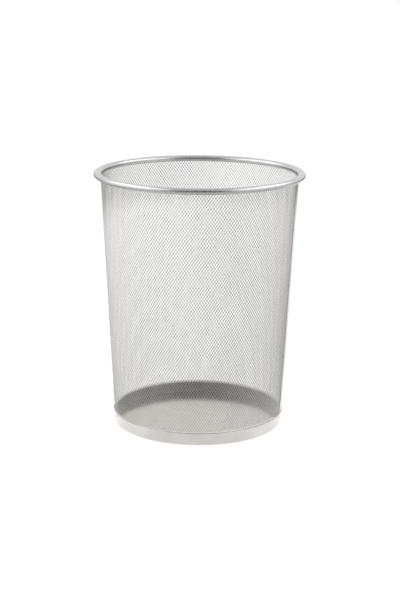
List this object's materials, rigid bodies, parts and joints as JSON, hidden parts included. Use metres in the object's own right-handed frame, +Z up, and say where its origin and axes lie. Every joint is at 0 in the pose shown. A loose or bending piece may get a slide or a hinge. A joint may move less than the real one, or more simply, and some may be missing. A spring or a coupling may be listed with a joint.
{
  "type": "mesh wastebasket",
  "caption": "Round, slightly conical wastebasket of see-through expanded steel mesh, open at the top, with an outward rolled rim and a solid steel foot band and floor.",
  "frame": {"origin": "middle of the foot, on the surface that the basket stands on", "axes": "+Z up along the basket's own axis, the pictured front towards -Y, the side seam near +X"},
  "size_m": [0.295, 0.295, 0.3622],
  "materials": {
    "mesh": "silver enamel on expanded steel, satin",
    "seam_strip": "silver enamel on flat steel strip, satin",
    "rim": "bright silver on smooth rolled steel",
    "band": "silver enamel on flat steel, satin",
    "floor": "silver enamel on flat steel, satin"
  },
  "bodies": {
    "root": {"mesh_wall": "mesh", "side_seam_strip": "seam_strip", "top_rim": "rim", "base_band": "band", "floor_plate": "floor"}
  },
  "joints": []
}
